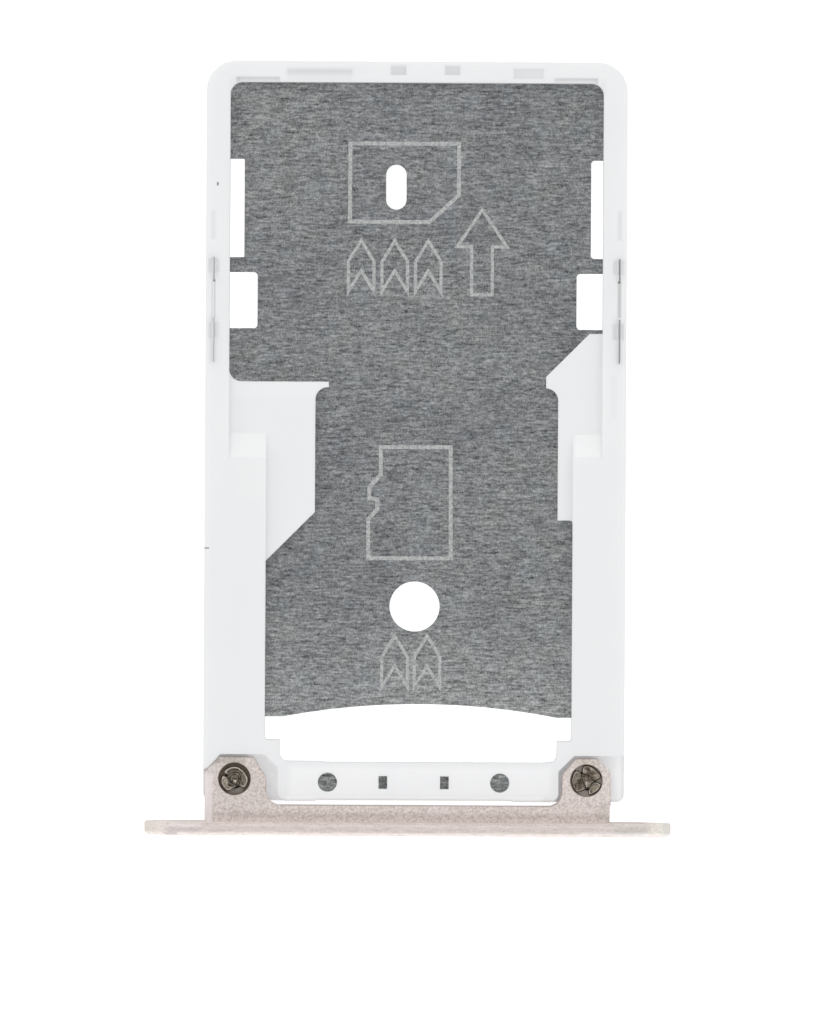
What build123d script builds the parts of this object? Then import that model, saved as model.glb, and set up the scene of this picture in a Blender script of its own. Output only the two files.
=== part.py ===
from build123d import *
import os

# SIM card tray: a moulded frame on a stamped steel sheet, with a riveted metal face.
# Millimetres, +Z up towards the card side, +Y the way the tray goes into the phone, +X to the right.
# The origin is under the middle of the tray, level with the lower edge of its face.
# Places on the frame are given as (u, v): u across from its centre line, v from its front edge.

# Standard cards and the play that each bay leaves around them
micro_sim_length = 15.0
micro_sim_width = 12.0
micro_sim_notch = 2.53
nano_sim_length = 12.3
nano_sim_width = 8.8
nano_sim_notch = 1.70
nano_sim_thickness = 0.67
sd_length = 15.0
sd_width = 11.0
sd_neck_width = 9.7
card_play = 0.17
sd_mouth_play = 0.26
sd_end_play = 0.23

# Frame, seen from above
frame_length = 30.06
frame_width = 17.12
frame_shift = 0.24
frame_top_corner = 1.2
frame_front_corner = 0.3
top_bar = 0.86
front_bar = 1.61
front_relief_width = 8.0
front_relief = 0.04
nano_offset = 0.17
nano_setback = 0.86
sd_offset = 0.86
sd_mouth_offset = 0.18
sd_mouth_depth = 2.0
sd_mouth_corner = 0.3
sd_corner = 0.5
micro_corner = 0.5
nano_corner = 0.12
tip_thickness = 0.22
left_tip_reach = 0.54
right_tip_reach = 0.49
right_wing_rise = 2.0

# Heights
face_height = 2.9
frame_base = 0.75
under_lip = 0.20
sheet = 0.15
rail_above_sheet = 0.95
skin = 0.15
ear_drop = 0.05
ramp_foot = 13.86
ramp_head = 14.94
rail_edge_round = 0.12
base_edge_bevel = 0.08

# Steel sheet
rail_wall = 0.40
bar_wall = 0.25
bar_front_wall = 0.20
sheet_corner = 0.8
window_key = 0.25
window_corner = 0.15
left_upper_window_corner = 0.05
left_upper_window_reach = 0.58
right_upper_window_reach = 0.49
upper_window_centre = 24.09
upper_window_length = 4.00
left_lower_window_reach = 1.13
right_lower_window_reach = 1.06
lower_window_centre = 20.34
lower_window_length = 2.28
slot_length = 1.83
slot_width = 0.83
slot_u = -0.83
slot_v = 24.97
round_hole_r = 1.02
round_hole_v = 7.91
leg_cover = 0.35
front_edge_v = 3.41
front_edge_rise = 0.53
front_edge_flat_left = 0.72
front_edge_flat_right = 0.59
tab_cover = 0.255
tab_front = 17.82
tab_length = 4.27
tab_sink = 0.04
tab_slit = 0.07
right_slit_shift = 0.04
tab_dip_front = 19.61
tab_dip_length = 1.55
tab_dip = 0.30
bend_round = 0.14

# Small features moulded in the frame
pin_hole_r = 0.39
pin_hole_u = 3.50
bar_hole_v = 0.76
bar_slot_width = 0.35
bar_slot_length = 0.52
bar_slot_u = 1.25
mark_depth = 0.05
top_marks = [
    (-3.95, 0.43, 2.76, 0.30),
    (-0.77, 0.34, 0.64, 0.42),
    (1.44, 0.34, 0.61, 0.42),
    (4.54, 0.49, 1.21, 0.42),
]
nick_width = 1.75
nick_length = 0.20
nick_depth = 0.12
nick_inset = 0.25
tab_pad_width = 0.45
tab_pad_length = 0.60
tab_pad_v = [19.11, 21.71]

# Face
face_length = 21.42
face_thickness = 0.57
face_edge_round = 0.20
face_back_break = 0.05
block_width = 16.51
block_height = 1.20
block_depth = 0.66
block_round = 0.30
bar_gap = 0.18
ear_reach = 1.77
left_ear_width = 2.51
right_ear_width = 2.00
left_ear_inner_bevel = (0.54, 0.82)
right_ear_inner_bevel = (0.58, 0.66)
ear_inner_round = 0.60
ear_outer_bevel_across = 0.58
ear_outer_bevel_along = 0.57
ear_root_fillet = 0.58
ear_edge_break = 0.04
recess_play = 0.11
recess_corner_play = 0.06
left_recess_edge = 5.52
right_recess_edge = 5.88
left_recess_bevel = (0.56, 0.56)
right_recess_bevel = (0.64, 0.64)
recess_front_round = 0.36
eject_hole_r = 0.84
eject_hole_inset = 1.80
eject_hole_draft = 3

# Rivets
rivet_shift = 0.11
rivet_spacing = 14.30
rivet_v = 0.88
shank_r = 0.36
shank_play = 0.04
head_r = 0.60
head_thickness = 0.17
head_play = 0.08
counterbore_r = 0.665
counterbore_depth = 0.35
petal_play = 0.05
petal_drop = 0.03
petal_rim = 0.20
hollow_r = 0.20
hollow_depth = 0.42
nub_r = 0.10
split_depth = 0.30
left_splits = [(158, 0.16), (277, 0.78)]
right_splits = [(120, 0.30), (2, 0.34), (264, 0.44)]

# Derived places
overall_length = frame_length + bar_gap + block_depth + face_thickness
bar_front_y = overall_length / 2 - frame_length
face_back_y = bar_front_y - bar_gap - block_depth
sheet_base = frame_base + under_lip
sheet_top = sheet_base + sheet
rail_top = sheet_top + rail_above_sheet
wing_top = sheet_top + nano_sim_thickness
ear_floor = sheet_top + skin
ear_top = rail_top - ear_drop
counterbore_floor = ear_top - counterbore_depth

micro_right = (micro_sim_length + card_play) / 2
micro_left = -micro_right
micro_top = frame_length - top_bar
micro_front = micro_top - micro_sim_width - card_play
nano_left = nano_offset - (nano_sim_length + card_play) / 2
nano_right = nano_offset + (nano_sim_length + card_play) / 2
nano_front = front_bar + nano_setback
nano_back = nano_front + nano_sim_width + card_play
neck_width = sd_neck_width + card_play
sd_left = sd_offset - neck_width / 2
sd_right = sd_offset + neck_width / 2
sd_back = micro_front - tip_thickness
sheet_half = frame_width / 2 - rail_wall
tab_centre = frame_width / 2 - tab_cover - sheet / 2
left_rivet_x = rivet_shift - rivet_spacing / 2
right_rivet_x = rivet_shift + rivet_spacing / 2


# A plane at a height, with its origin in the middle of the frame's front edge
def frame_level(height):
    return Plane(origin=(frame_shift, bar_front_y, height))


# The same plane, with its origin on the centre line of the face
def face_level(height):
    return Plane(origin=(0, bar_front_y, height))


# An upright plane across the tray at a place along Y, drawn on with X to the right and Z up
def upright(x, y, height):
    return Plane(origin=(x, y, height), x_dir=(1, 0, 0), z_dir=(0, -1, 0))


# Steel sheet: one blank with its holes, and a bent-up tab on each side
with BuildPart() as steel_plate:
    with BuildSketch(frame_level(sheet_base)):
        with Locations((0, bar_front_wall)):
            Rectangle(
                2 * sheet_half,
                frame_length - bar_front_wall - top_bar / 2,
                align=(Align.CENTER, Align.MIN),
            )
        fillet(vertices().group_by(Axis.Y)[-1], sheet_corner)
        with Locations((0, tab_front)):
            Rectangle(2 * tab_centre + sheet, tab_length, align=(Align.CENTER, Align.MIN))
        with BuildLine():
            left_leg = nano_left - leg_cover
            right_leg = nano_right + leg_cover
            tail_back = front_bar - bar_wall
            arc_start = (nano_right - front_edge_flat_right, front_edge_v)
            arc_end = (nano_left + front_edge_flat_left, front_edge_v)
            Polyline(
                arc_end,
                (left_leg, front_edge_v),
                (left_leg, tail_back),
                (right_leg, tail_back),
                (right_leg, front_edge_v),
                arc_start,
            )
            SagittaArc(arc_start, arc_end, -front_edge_rise)
        make_face(mode=Mode.SUBTRACT)
        for side, reach, centre, length, corner in (
            (-1, left_upper_window_reach, upper_window_centre, upper_window_length, left_upper_window_corner),
            (1, right_upper_window_reach, upper_window_centre, upper_window_length, window_corner),
            (-1, left_lower_window_reach, lower_window_centre, lower_window_length, window_corner),
            (1, right_lower_window_reach, lower_window_centre, lower_window_length, window_corner),
        ):
            with Locations((side * (micro_right + (window_key - reach) / 2), centre)):
                RectangleRounded(reach + window_key, length, corner, mode=Mode.SUBTRACT)
        with Locations((slot_u, slot_v)):
            SlotOverall(slot_length, slot_width, rotation=90, mode=Mode.SUBTRACT)
        with Locations((0, round_hole_v)):
            Circle(round_hole_r, mode=Mode.SUBTRACT)
    extrude(amount=sheet)
    with BuildSketch(face_level(sheet_base)):
        with Locations((left_rivet_x, rivet_v), (right_rivet_x, rivet_v)):
            Circle(shank_r + shank_play)
    extrude(amount=sheet, mode=Mode.SUBTRACT)
    with BuildSketch(frame_level(sheet_base)):
        with Locations((-tab_centre, tab_front), (tab_centre, tab_front)):
            Rectangle(sheet, tab_length, align=(Align.CENTER, Align.MIN))
    extrude(amount=rail_top - tab_sink - sheet_base)
    bend_edges = edges().filter_by(Axis.Y).group_by(Axis.Z)[0].group_by(Axis.X)
    fillet(bend_edges[0] + bend_edges[-1], bend_round)
    with BuildSketch(frame_level(rail_top)):
        with Locations((0, tab_dip_front)):
            Rectangle(frame_width, tab_dip_length, align=(Align.CENTER, Align.MIN))
    extrude(amount=-tab_dip, mode=Mode.SUBTRACT)
steel_plate.part.label = "steel_plate"


# Outline of the space that the cards take, drawn on the frame
with BuildSketch() as card_space:
    step_v = micro_front + right_wing_rise
    step_u = micro_right - micro_sim_notch + right_wing_rise
    with BuildLine():
        FilletPolyline(
            (micro_left, micro_front),
            (micro_right - micro_sim_notch, micro_front),
            (step_u, step_v),
            (micro_right, step_v),
            (micro_right, micro_top),
            (micro_left, micro_top),
            radius=(micro_corner, 0, 0, 0, micro_corner, micro_corner),
            close=True,
        )
    make_face()
    left_tip = sd_left + left_tip_reach
    right_tip = sd_right - right_tip_reach
    throat_back = right_tip - micro_right + micro_sim_notch + micro_front
    with Locations((left_tip, sd_back - sd_corner)):
        Rectangle(right_tip - left_tip, throat_back - sd_back + sd_corner, align=(Align.MIN, Align.MIN))
    sd_front = sd_back - sd_length - sd_end_play
    with Locations((sd_offset, sd_front)):
        RectangleRounded(neck_width, sd_back - sd_front, sd_corner, align=(Align.CENTER, Align.MIN))
    diagonal_top = nano_back - nano_sim_notch + sd_left - nano_left
    with BuildLine():
        FilletPolyline(
            (nano_left, nano_front),
            (nano_right, nano_front),
            (nano_right, nano_back),
            (sd_left + sd_corner, nano_back),
            (sd_left + sd_corner, diagonal_top),
            (sd_left, diagonal_top),
            (nano_left, nano_back - nano_sim_notch),
            radius=(nano_corner, nano_corner, nano_corner, 0, 0, 0, 0),
            close=True,
        )
    make_face()
    with Locations((sd_mouth_offset, front_bar)):
        RectangleRounded(
            sd_width + sd_mouth_play, sd_mouth_depth, sd_mouth_corner, align=(Align.CENTER, Align.MIN)
        )


# Moulded frame, which grips the sheet all round
with BuildPart() as plastic_frame:
    with BuildSketch(frame_level(frame_base)):
        Rectangle(frame_width, frame_length, align=(Align.CENTER, Align.MIN))
        fillet(vertices().group_by(Axis.Y)[-1], frame_top_corner)
        fillet(vertices().group_by(Axis.Y)[0], frame_front_corner)
        Rectangle(front_relief_width, 2 * front_relief, mode=Mode.SUBTRACT)
    extrude(amount=rail_top - frame_base)
    fillet(edges().group_by(Axis.Z)[-1], rail_edge_round)
    chamfer(edges().group_by(Axis.Z)[0], base_edge_bevel)
    with BuildSketch(frame_level(frame_base)):
        add(card_space.sketch)
    extrude(amount=rail_top - frame_base, mode=Mode.SUBTRACT)

    with BuildSketch(Plane(origin=(frame_shift, bar_front_y, 0), x_dir=(0, 1, 0), z_dir=(1, 0, 0))):
        with BuildLine():
            Polyline(
                (ramp_foot, rail_top),
                (ramp_head, wing_top),
                (micro_top - micro_corner, wing_top),
                (micro_top - micro_corner, rail_top),
                close=True,
            )
        make_face()
    extrude(amount=micro_right, both=True, mode=Mode.SUBTRACT)
    with BuildSketch(frame_level(wing_top)):
        with Locations(((nano_left + nano_right) / 2, nano_front + nano_corner)):
            Rectangle(
                nano_right - nano_left,
                ramp_head - nano_front - nano_corner,
                align=(Align.CENTER, Align.MIN),
            )
    extrude(amount=rail_top - wing_top, mode=Mode.SUBTRACT)

    recess_back = ear_reach + recess_play
    outside = frame_width / 2 + recess_play
    ear_corner_slope = ear_outer_bevel_along / ear_outer_bevel_across
    left_corner_u = block_width / 2 + frame_shift - ear_outer_bevel_across + recess_corner_play
    left_corner_u = left_corner_u - recess_play / ear_corner_slope
    left_corner_drop = (outside - left_corner_u) * ear_corner_slope
    with BuildSketch(frame_level(ear_floor)):
        for side, edge, (bevel_across, bevel_along), corner_u, corner_drop in (
            (-1, left_recess_edge, left_recess_bevel, left_corner_u, left_corner_drop),
            (1, right_recess_edge, right_recess_bevel, outside - recess_play, 0),
        ):
            with BuildLine():
                Polyline(
                    (side * edge, recess_front_round),
                    (side * edge, recess_back - bevel_along),
                    (side * (edge + bevel_across), recess_back),
                    (side * corner_u, recess_back),
                    (side * outside, recess_back - corner_drop),
                    (side * outside, -recess_play),
                    (side * (edge - recess_front_round), -recess_play),
                    (side * (edge - recess_front_round), 0),
                )
                RadiusArc(
                    (side * (edge - recess_front_round), 0),
                    (side * edge, recess_front_round),
                    -side * recess_front_round,
                )
            make_face()
    extrude(amount=rail_top - ear_floor, mode=Mode.SUBTRACT)

    with BuildSketch(frame_level(sheet_top)):
        with Locations((-pin_hole_u, bar_hole_v), (pin_hole_u, bar_hole_v)):
            Circle(pin_hole_r)
        with Locations((-bar_slot_u, bar_hole_v), (bar_slot_u, bar_hole_v)):
            Rectangle(bar_slot_width, bar_slot_length)
    extrude(amount=rail_top - sheet_top, mode=Mode.SUBTRACT)
    with BuildSketch(face_level(frame_base)):
        with Locations((left_rivet_x, rivet_v), (right_rivet_x, rivet_v)):
            Circle(shank_r + shank_play)
    extrude(amount=ear_floor - frame_base, mode=Mode.SUBTRACT)
    with BuildSketch(face_level(frame_base)):
        with Locations((left_rivet_x, rivet_v), (right_rivet_x, rivet_v)):
            Circle(head_r + head_play)
    extrude(amount=under_lip, mode=Mode.SUBTRACT)

    with BuildSketch(frame_level(rail_top)):
        for mark_u, mark_inset, mark_width, mark_length in top_marks:
            with Locations((mark_u, frame_length - mark_inset)):
                Rectangle(mark_width, mark_length)
        with GridLocations(2 * tab_centre, 1, 2, 1):
            with Locations(*[(0, pad_v) for pad_v in tab_pad_v]):
                Rectangle(tab_pad_width, tab_pad_length)
    extrude(amount=-mark_depth, mode=Mode.SUBTRACT)
    with BuildSketch(frame_level(rail_top)):
        nick_u = micro_right - nick_inset - nick_width / 2
        with Locations((-nick_u, micro_top), (nick_u, micro_top)):
            Rectangle(nick_width, 2 * nick_length)
    extrude(amount=-nick_depth, mode=Mode.SUBTRACT)

    with BuildSketch(frame_level(rail_top)):
        for slit_front, slit_back in (
            (tab_front, tab_dip_front),
            (tab_dip_front + tab_dip_length, tab_front + tab_length),
        ):
            with Locations((-tab_centre, (slit_front + slit_back) / 2)):
                SlotOverall(slit_back - slit_front, tab_slit, rotation=90)
            with Locations((tab_centre + right_slit_shift, (slit_front + slit_back) / 2)):
                SlotOverall(slit_back - slit_front, tab_slit, rotation=90)
    extrude(amount=-tab_sink, mode=Mode.SUBTRACT)
    add(steel_plate.part, mode=Mode.SUBTRACT)
plastic_frame.part.label = "plastic_frame"


# Face: a bar with two ears milled from it, and the rounded plate in front
with BuildPart() as face:
    shank_height = ear_top - block_height / 2
    with BuildSketch(upright(0, face_back_y, shank_height)):
        RectangleRounded(block_width, block_height, block_round)
    extrude(amount=-(block_depth + bar_gap + ear_reach))
    with BuildSketch(face_level(0)):
        with Locations((0, -bar_gap)):
            Rectangle(block_width, block_depth, align=(Align.CENTER, Align.MAX))
        for side, width, (bevel_across, bevel_along) in (
            (-1, left_ear_width, left_ear_inner_bevel),
            (1, right_ear_width, right_ear_inner_bevel),
        ):
            outer = block_width / 2
            inner = outer - width
            with BuildLine():
                FilletPolyline(
                    (side * (inner - 2 * ear_root_fillet), -bar_gap),
                    (side * inner, -bar_gap),
                    (side * inner, ear_reach - bevel_along),
                    (side * (inner + bevel_across), ear_reach),
                    (side * (outer - ear_outer_bevel_across), ear_reach),
                    (side * outer, ear_reach - ear_outer_bevel_along),
                    (side * outer, -bar_gap - block_depth / 2),
                    (side * (inner - 2 * ear_root_fillet), -bar_gap - block_depth / 2),
                    radius=(0, ear_root_fillet, ear_inner_round, 0, 0, 0, 0, 0),
                    close=True,
                )
            make_face()
    extrude(amount=face_height, mode=Mode.INTERSECT)
    with BuildSketch(face_level(0)):
        with Locations((0, -bar_gap)):
            Rectangle(face_length, bar_gap + ear_reach, align=(Align.CENTER, Align.MIN))
    extrude(amount=ear_floor, mode=Mode.SUBTRACT)
    top_edges = edges().filter_by_position(Axis.Z, ear_top - 0.001, ear_top + 0.001)
    side_seam = block_width / 2 - block_round
    chamfer(
        [
            edge
            for edge in top_edges
            if edge.center().Y > bar_front_y - bar_gap - 0.01 and abs(abs(edge.center().X) - side_seam) > 0.01
        ],
        ear_edge_break,
    )
    with BuildSketch(upright(0, face_back_y, face_height / 2)):
        SlotOverall(face_length, face_height)
    extrude(amount=face_thickness)
    fillet(edges().group_by(Axis.Y)[0], face_edge_round)
    back_edges = edges().filter_by_position(Axis.Y, face_back_y - 0.001, face_back_y + 0.001)
    chamfer(
        [
            edge
            for edge in back_edges
            if edge.bounding_box().max.Z > face_height - 0.01 or edge.bounding_box().min.Z < 0.01
        ],
        face_back_break,
    )
    with BuildSketch(upright(0, face_back_y - face_thickness, face_height / 2)):
        with Locations((face_length / 2 - eject_hole_inset, 0)):
            Circle(eject_hole_r)
    extrude(amount=-face_thickness, mode=Mode.SUBTRACT)
    with BuildSketch(upright(0, face_back_y, face_height / 2)):
        with Locations((face_length / 2 - eject_hole_inset, 0)):
            Circle(eject_hole_r)
    extrude(amount=-block_depth, taper=eject_hole_draft, mode=Mode.SUBTRACT)
    with BuildSketch(face_level(ear_top)):
        with Locations((left_rivet_x, rivet_v), (right_rivet_x, rivet_v)):
            Circle(counterbore_r)
    extrude(amount=-counterbore_depth, mode=Mode.SUBTRACT)
    with BuildSketch(face_level(ear_top)):
        with Locations((left_rivet_x, rivet_v), (right_rivet_x, rivet_v)):
            Circle(shank_r + shank_play)
    extrude(amount=ear_floor - ear_top, mode=Mode.SUBTRACT)
face.part.label = "face"


# Rivets: a flat head under the sheet, a shank, and an end rolled over and split into petals
rivets = []
for rivet_name, rivet_x, splits in (
    ("left_rivet", left_rivet_x, left_splits),
    ("right_rivet", right_rivet_x, right_splits),
):
    rivet_y = bar_front_y + rivet_v
    petal_r = counterbore_r - petal_play
    petal_top = ear_top - petal_drop
    hollow_floor = petal_top - hollow_depth
    with BuildPart() as rivet:
        with BuildSketch(upright(rivet_x, rivet_y, 0)):
            with BuildLine():
                Polyline(
                    (0, hollow_floor),
                    (0, sheet_base - head_thickness),
                    (head_r, sheet_base - head_thickness),
                    (head_r, sheet_base),
                    (shank_r, sheet_base),
                    (shank_r, counterbore_floor),
                    (petal_r, counterbore_floor),
                    (petal_r, petal_top - petal_rim / 2),
                )
                TangentArc(
                    (petal_r, petal_top - petal_rim / 2),
                    (petal_r - petal_rim / 2, petal_top),
                    tangent=(0, 1),
                )
                Spline(
                    (petal_r - petal_rim / 2, petal_top),
                    (hollow_r + nub_r, petal_top - petal_rim / 2),
                    (hollow_r, hollow_floor),
                    tangents=((-1, 0), (0, -1)),
                )
                Polyline((hollow_r, hollow_floor), (nub_r, hollow_floor), (0, hollow_floor))
            make_face()
        revolve(axis=Axis((rivet_x, rivet_y, 0), (0, 0, 1)))
        with BuildSketch(Plane(origin=(rivet_x, rivet_y, counterbore_floor))):
            for angle, opening in splits:
                Polygon(
                    (split_depth, 0),
                    (counterbore_r, opening / 2),
                    (counterbore_r, -opening / 2),
                    rotation=angle,
                    align=None,
                )
        extrude(amount=counterbore_depth, mode=Mode.SUBTRACT)
    rivet.part.label = rivet_name
    rivets.append(rivet.part)


os.makedirs("parts", exist_ok=True)
for piece in [steel_plate.part, plastic_frame.part, face.part] + rivets:
    export_step(piece, f"parts/{piece.label}.step")
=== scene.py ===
import math

import bpy
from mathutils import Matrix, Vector


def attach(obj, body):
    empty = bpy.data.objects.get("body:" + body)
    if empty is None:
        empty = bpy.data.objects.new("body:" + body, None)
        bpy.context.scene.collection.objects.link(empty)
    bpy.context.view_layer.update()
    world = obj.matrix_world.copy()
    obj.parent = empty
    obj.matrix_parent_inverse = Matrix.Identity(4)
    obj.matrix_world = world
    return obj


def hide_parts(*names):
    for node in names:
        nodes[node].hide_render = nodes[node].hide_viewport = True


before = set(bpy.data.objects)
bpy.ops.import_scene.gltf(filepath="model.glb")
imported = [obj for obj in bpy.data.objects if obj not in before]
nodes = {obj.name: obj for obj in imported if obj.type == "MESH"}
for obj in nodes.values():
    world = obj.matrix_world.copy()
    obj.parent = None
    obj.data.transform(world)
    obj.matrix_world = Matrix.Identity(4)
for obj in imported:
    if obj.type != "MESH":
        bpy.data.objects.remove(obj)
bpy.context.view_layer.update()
print("frame loaded:", ", ".join(sorted(nodes)))

mm = 0.001
frameShift = 0.24      # the moulded frame sits this far to the right of the face's middle
frontBarY = -14.325    # outside of the frame's front bar
sheetTop = 1.10        # floor of the card bays


def startFresh():
    if bpy.context.mode != "OBJECT":
        bpy.ops.object.mode_set(mode="OBJECT")
    bpy.ops.object.select_all(action="DESELECT")


def pick(piece):
    startFresh()
    piece.select_set(True)
    bpy.context.view_layer.objects.active = piece


# New pieces are drawn in millimetres and shrunk to metres when they are done
def settle(piece, angle=30):
    pick(piece)
    bpy.ops.object.transform_apply(location=True, rotation=True, scale=True)
    piece.scale = (mm, mm, mm)
    bpy.ops.object.transform_apply(location=False, rotation=False, scale=True)
    bpy.ops.object.shade_smooth_by_angle(angle=math.radians(angle))
    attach(piece, "root")
    piece.select_set(False)
    return piece


# Shader groups that the finishes share
def newGroup(name, inputs, outputs):
    group = bpy.data.node_groups.new(name, "ShaderNodeTree")
    for label, kind, value in inputs:
        socket = group.interface.new_socket(label, in_out="INPUT", socket_type=kind)
        socket.default_value = value
    for label, kind in outputs:
        group.interface.new_socket(label, in_out="OUTPUT", socket_type=kind)
    return group, group.nodes.new("NodeGroupInput"), group.nodes.new("NodeGroupOutput")


def mathNode(tree, operation, first, second=None, clamp=False):
    node = tree.nodes.new("ShaderNodeMath")
    node.operation = operation
    node.use_clamp = clamp
    for index, value in enumerate((first, second)):
        if value is None:
            continue
        if isinstance(value, (int, float)):
            node.inputs[index].default_value = value
        else:
            tree.links.new(value, node.inputs[index])
    return node.outputs[0]


def vectorNode(tree, operation, first, second=None):
    node = tree.nodes.new("ShaderNodeVectorMath")
    node.operation = operation
    for index, value in enumerate((first, second)):
        if value is None:
            continue
        if isinstance(value, (tuple, list, Vector)):
            node.inputs[index].default_value = value
        else:
            tree.links.new(value, node.inputs[index])
    return node.outputs[0]


def noiseNode(tree, vector, scale, detail, roughness=0.5):
    node = tree.nodes.new("ShaderNodeTexNoise")
    tree.links.new(vector, node.inputs["Vector"])
    node.inputs["Scale"].default_value = scale
    node.inputs["Detail"].default_value = detail
    node.inputs["Roughness"].default_value = roughness
    return node.outputs["Fac"]


# Each layer of strokes is (share, length against the given one, shift of its noise)
brushingLook = {
    "layers": [(0.31, 1.0, (0, 0, 0)), (0.35, 2.6, (7.3, 1.7, 0)), (0.34, 0.26, (3.1, 9.4, 0))],
    "detail": 1.5, "breakUp": 0.6, "cloudScale": 0.22, "cloudDetail": 2.0, "tintScale": 0.9,
}


# Short straight scratches: noise drawn out along X at three lengths, with wide clouds and a tint beside them
def makeBrushing():
    look = brushingLook
    group, given, out = newGroup(
        "brushing",
        [("Position", "NodeSocketVector", (0, 0, 0)),
         ("Stroke Length", "NodeSocketFloat", 0.3),
         ("Stroke Width", "NodeSocketFloat", 0.06)],
        [("Strokes", "NodeSocketFloat"), ("Clouds", "NodeSocketFloat"), ("Tint", "NodeSocketFloat")])
    position = given.outputs["Position"]
    perWidth = mathNode(group, "DIVIDE", 1.0, given.outputs["Stroke Width"])
    total = None
    for share, times, shift in look["layers"]:
        length = mathNode(group, "MULTIPLY", given.outputs["Stroke Length"], times)
        stretch = group.nodes.new("ShaderNodeCombineXYZ")
        group.links.new(mathNode(group, "DIVIDE", 1.0, length), stretch.inputs["X"])
        group.links.new(perWidth, stretch.inputs["Y"])
        group.links.new(perWidth, stretch.inputs["Z"])
        moved = vectorNode(group, "ADD", position, shift)
        drawn = vectorNode(group, "MULTIPLY", moved, stretch.outputs[0])
        strokes = noiseNode(group, drawn, 1.0, look["detail"], look["breakUp"])
        layer = mathNode(group, "MULTIPLY", strokes, share)
        total = layer if total is None else mathNode(group, "ADD", total, layer)
    group.links.new(total, out.inputs["Strokes"])
    clouds = noiseNode(group, position, look["cloudScale"], look["cloudDetail"])
    group.links.new(clouds, out.inputs["Clouds"])
    tint = noiseNode(group, position, look["tintScale"], look["detail"])
    group.links.new(tint, out.inputs["Tint"])
    return group


grainLook = {"detail": 2.0, "breakUp": 0.6, "blotchScale": 0.11}


# Even grain with no direction, as blasting and moulding leave, and wider blotches beside it
def makeGrain():
    look = grainLook
    group, given, out = newGroup(
        "grain",
        [("Position", "NodeSocketVector", (0, 0, 0)), ("Grain Size", "NodeSocketFloat", 0.08)],
        [("Grain", "NodeSocketFloat"), ("Blotches", "NodeSocketFloat")])
    perGrain = mathNode(group, "DIVIDE", 1.0, given.outputs["Grain Size"])
    sized = group.nodes.new("ShaderNodeVectorMath")
    sized.operation = "SCALE"
    group.links.new(given.outputs["Position"], sized.inputs[0])
    group.links.new(perGrain, sized.inputs["Scale"])
    grains = noiseNode(group, sized.outputs[0], 1.0, look["detail"], look["breakUp"])
    blotches = noiseNode(group, sized.outputs[0], look["blotchScale"], look["detail"])
    group.links.new(grains, out.inputs["Grain"])
    group.links.new(blotches, out.inputs["Blotches"])
    return group


# A box-shaped mark with soft edges: 1 inside, 0 outside
def makeSoftMark():
    group, given, out = newGroup(
        "softMark",
        [("Position", "NodeSocketVector", (0, 0, 0)), ("Centre", "NodeSocketVector", (0, 0, 0)),
         ("Half Size", "NodeSocketVector", (1, 1, 1)), ("Softness", "NodeSocketFloat", 0.1)],
        [("Mark", "NodeSocketFloat")])
    away = vectorNode(group, "SUBTRACT", given.outputs["Position"], given.outputs["Centre"])
    away = vectorNode(group, "ABSOLUTE", away)
    past = vectorNode(group, "SUBTRACT", away, given.outputs["Half Size"])
    split = group.nodes.new("ShaderNodeSeparateXYZ")
    group.links.new(past, split.inputs[0])
    worst = mathNode(group, "MAXIMUM", split.outputs["X"], split.outputs["Y"])
    worst = mathNode(group, "MAXIMUM", worst, split.outputs["Z"])
    share = mathNode(group, "DIVIDE", worst, given.outputs["Softness"])
    mark = mathNode(group, "SUBTRACT", 0.5, share, clamp=True)
    group.links.new(mark, out.inputs["Mark"])
    return group


# Distance from an upright axis, for rings and round fades
def makeRadial():
    group, given, out = newGroup(
        "radial",
        [("Position", "NodeSocketVector", (0, 0, 0)), ("Centre", "NodeSocketVector", (0, 0, 0))],
        [("Radius", "NodeSocketFloat")])
    away = vectorNode(group, "SUBTRACT", given.outputs["Position"], given.outputs["Centre"])
    flat = vectorNode(group, "MULTIPLY", away, (1, 1, 0))
    measured = group.nodes.new("ShaderNodeVectorMath")
    measured.operation = "LENGTH"
    group.links.new(flat, measured.inputs[0])
    group.links.new(measured.outputs["Value"], out.inputs["Radius"])
    return group


brushing = makeBrushing()
grain = makeGrain()
softMark = makeSoftMark()
radial = makeRadial()
print("shader groups made")


# Links and values go to the group's inputs; an underscore stands for a space in an input's name
def useGroup(tree, group, links=None, **values):
    node = tree.nodes.new("ShaderNodeGroup")
    node.node_tree = group
    for label, socket in (links or {}).items():
        tree.links.new(socket, node.inputs[label])
    for label, value in values.items():
        node.inputs[label.replace("_", " ")].default_value = value
    return node.outputs


# A material, its tree and shader, and the position on the piece in millimetres
def newFinish(name, metallic):
    material = bpy.data.materials.new(name)
    material.use_nodes = True
    tree = material.node_tree
    tree.nodes.clear()
    output = tree.nodes.new("ShaderNodeOutputMaterial")
    shader = tree.nodes.new("ShaderNodeBsdfPrincipled")
    tree.links.new(shader.outputs["BSDF"], output.inputs["Surface"])
    shader.inputs["Metallic"].default_value = metallic
    coords = tree.nodes.new("ShaderNodeTexCoord")
    place = tree.nodes.new("ShaderNodeMapping")
    place.inputs["Scale"].default_value = (1 / mm, 1 / mm, 1 / mm)
    tree.links.new(coords.outputs["Object"], place.inputs["Vector"])
    return material, tree, shader, place.outputs["Vector"]


def rampNode(tree, factor, stops):
    node = tree.nodes.new("ShaderNodeValToRGB")
    tree.links.new(factor, node.inputs["Fac"])
    while len(node.color_ramp.elements) < len(stops):
        node.color_ramp.elements.new(0.5)
    for element, (position, colour) in zip(node.color_ramp.elements, stops):
        element.position = position
        element.color = (*colour, 1)
    return node.outputs["Color"]


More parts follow.
